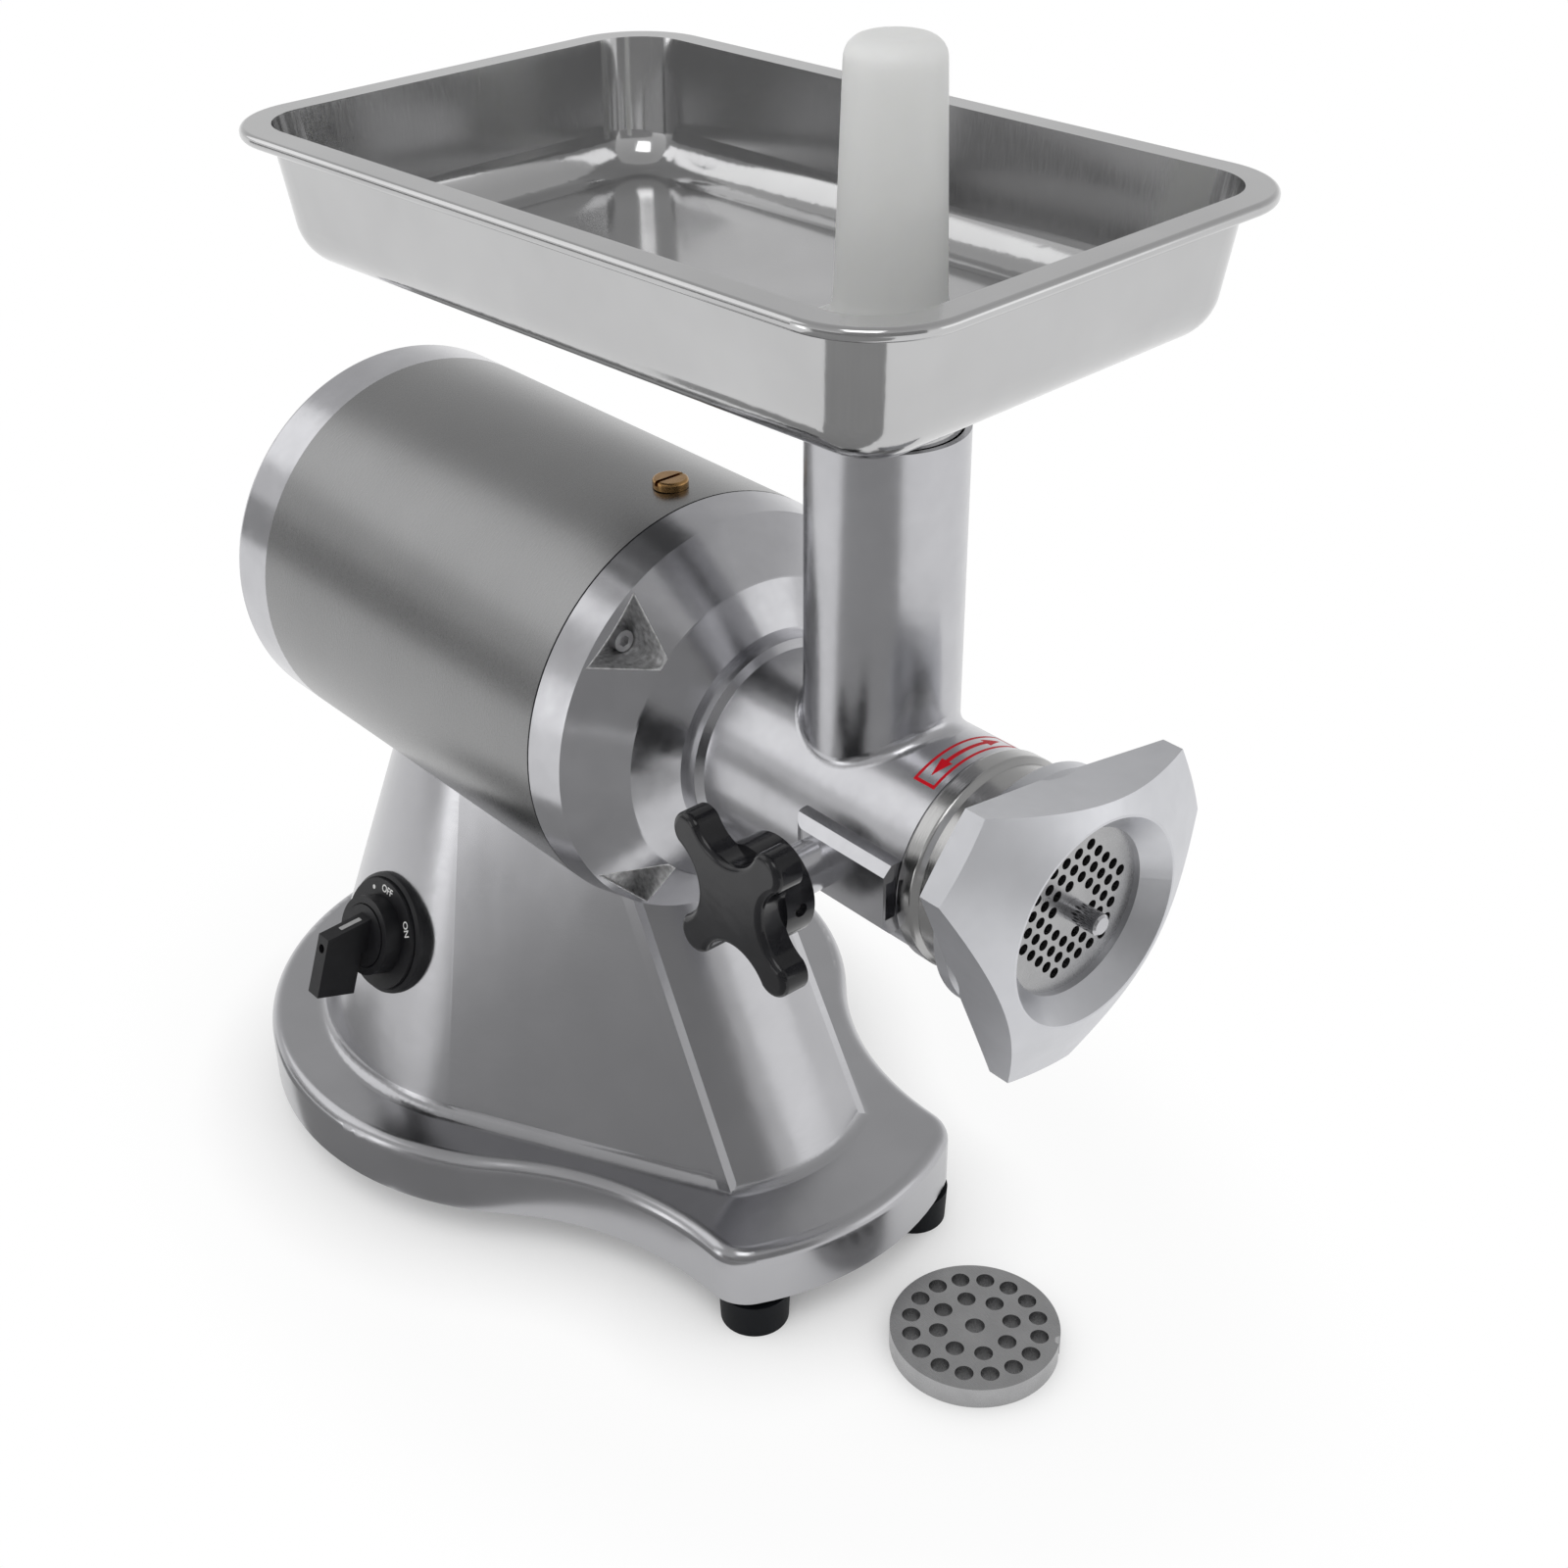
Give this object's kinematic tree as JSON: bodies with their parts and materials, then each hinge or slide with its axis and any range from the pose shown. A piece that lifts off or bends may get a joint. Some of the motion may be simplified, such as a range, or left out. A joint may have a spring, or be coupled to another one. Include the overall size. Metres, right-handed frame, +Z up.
{
  "type": "electric meat grinder",
  "caption": "Bench meat grinder: motor housing on a leaning pedestal, pull-out mincing head with worm, knife, plate and ring nut, star-knob clamp, steel tray and pusher.",
  "frame": {"origin": "on the floor under the middle of the machine's length and width", "axes": "+Z up, -Y is the way the minced meat leaves, +X is the side away from the switch and the clamp knob"},
  "size_m": [0.272, 0.4596, 0.517],
  "materials": {
    "cast_satin": "satin cast aluminium",
    "cast_polished": "polished cast aluminium",
    "sleeve_steel": "brushed stainless steel",
    "tray_steel": "mirror-polished stainless steel",
    "barrel_steel": "machined stainless steel",
    "tool_steel": "ground steel",
    "fastener_steel": "zinc-plated steel",
    "sheet_steel": "plain sheet steel",
    "brass": "turned brass",
    "bronze": "bronze",
    "copper": "varnished copper wire",
    "lamination": "stacked steel sheets",
    "gear_steel": "hardened steel with grease",
    "black_rubber": "black rubber",
    "black_gloss": "glossy black plastic",
    "black_matte": "matt black plastic",
    "white_plastic": "milky white polyethylene",
    "grey_plastic": "grey plastic"
  },
  "bodies": {
    "base": {"pedestal": "cast_satin", "bottom_plate": "sheet_steel", "foot_front_left": "black_rubber", "foot_front_right": "black_rubber", "foot_rear_left": "black_rubber", "foot_rear_right": "black_rubber", "foot_screws": "fastener_steel", "switch_body": "black_matte", "switch_plate": "black_matte", "cable_gland": "black_matte", "motor_sleeve": "sleeve_steel", "gasket": "black_rubber", "oil_plug": "brass", "rear_cap": "cast_polished", "rear_cap_screws": "fastener_steel", "gear_cover": "cast_polished", "cover_screws": "fastener_steel", "neck": "cast_polished", "end_plate": "cast_satin", "motor_frame": "cast_satin", "stator": "lamination", "windings": "copper", "motor_bearings": "tool_steel", "lay_bushes": "bronze", "output_bearing": "tool_steel", "oil_seal": "black_rubber", "capacitor": "grey_plastic", "capacitor_clip": "sheet_steel", "terminal_block": "grey_plastic"},
    "output": {"output_gear": "gear_steel", "output_shaft": "gear_steel"},
    "lay": {"lay_shaft": "gear_steel", "lay_gear": "gear_steel", "lay_pinion": "gear_steel"},
    "motor": {"rotor": "lamination", "motor_shaft": "gear_steel", "fan": "black_matte", "motor_pinion": "gear_steel"},
    "head": {"barrel": "barrel_steel", "plate_key": "tool_steel"},
    "worm": {"feed_screw": "cast_polished", "knife": "tool_steel"},
    "cutting_plate": {"fine_plate": "tool_steel"},
    "nut": {"ring_nut": "cast_polished"},
    "pad": {"clamp_pad": "brass"},
    "knob": {"star_knob": "black_gloss", "clamp_stud": "fastener_steel", "knob_pin": "fastener_steel"},
    "feed_tray": {"tray": "tray_steel"},
    "plunger": {"pusher": "white_plastic"},
    "switch": {"switch_knob": "black_matte"},
    "loose_plate": {"spare_plate": "tool_steel"}
  },
  "joints": [
    {"name": "output_turn", "type": "hinge", "parent": "base", "child": "output", "pos_m": [0, 0, 0.244], "axis": [0, -1, 0], "continuous": true},
    {"name": "lay_turn", "type": "hinge", "parent": "base", "child": "lay", "pos_m": [0, 0, 0.202], "axis": [0, -1, 0], "continuous": true},
    {"name": "motor_turn", "type": "hinge", "parent": "base", "child": "motor", "pos_m": [0, 0, 0.244], "axis": [0, -1, 0], "continuous": true},
    {"name": "head_pull", "type": "slide", "parent": "base", "child": "head", "axis": [0, -1, 0], "range_m": [0, 0.095]},
    {"name": "worm_turn", "type": "hinge", "parent": "head", "child": "worm", "pos_m": [0, 0, 0.244], "axis": [0, -1, 0], "continuous": true},
    {"name": "plate_out", "type": "slide", "parent": "head", "child": "cutting_plate", "axis": [0, -1, 0], "range_m": [0, 0.025]},
    {"name": "nut_unscrew", "type": "hinge", "parent": "cutting_plate", "child": "nut", "pos_m": [0, 0, 0.244], "axis": [0, -1, 0], "range_deg": [0, 1800]},
    {"name": "pad_out", "type": "slide", "parent": "base", "child": "pad", "axis": [-1, 0, 0], "range_m": [0, 0.003]},
    {"name": "knob_loosen", "type": "hinge", "parent": "pad", "child": "knob", "pos_m": [-0.075, -0.13675, 0.244], "axis": [-1, 0, 0], "range_deg": [0, 720]},
    {"name": "tray_lift", "type": "slide", "parent": "base", "child": "feed_tray", "axis": [0, 0, 1], "range_m": [0, 0.06]},
    {"name": "plunger_lift", "type": "slide", "parent": "feed_tray", "child": "plunger", "axis": [0, 0, 1], "range_m": [0, 0.12]},
    {"name": "switch_turn", "type": "hinge", "parent": "base", "child": "switch", "pos_m": [-0.08887, 0.09605, 0.11102], "axis": [0.9479, 0, -0.3185], "range_deg": [0, 60]},
    {"name": "loose_plate_lift", "type": "slide", "parent": "base", "child": "loose_plate", "axis": [0, 0, 1], "range_m": [0, 0.05]}
  ],
  "couplings": [
    {"joint": "lay_turn", "follows": "output_turn", "ratio": -2.8182},
    {"joint": "motor_turn", "follows": "output_turn", "ratio": 8.4545},
    {"joint": "worm_turn", "follows": "output_turn", "ratio": 1},
    {"joint": "plate_out", "follows": "nut_unscrew", "m_per_rad": 0.00079577},
    {"joint": "pad_out", "follows": "knob_loosen", "m_per_rad": 0.00023873}
  ]
}
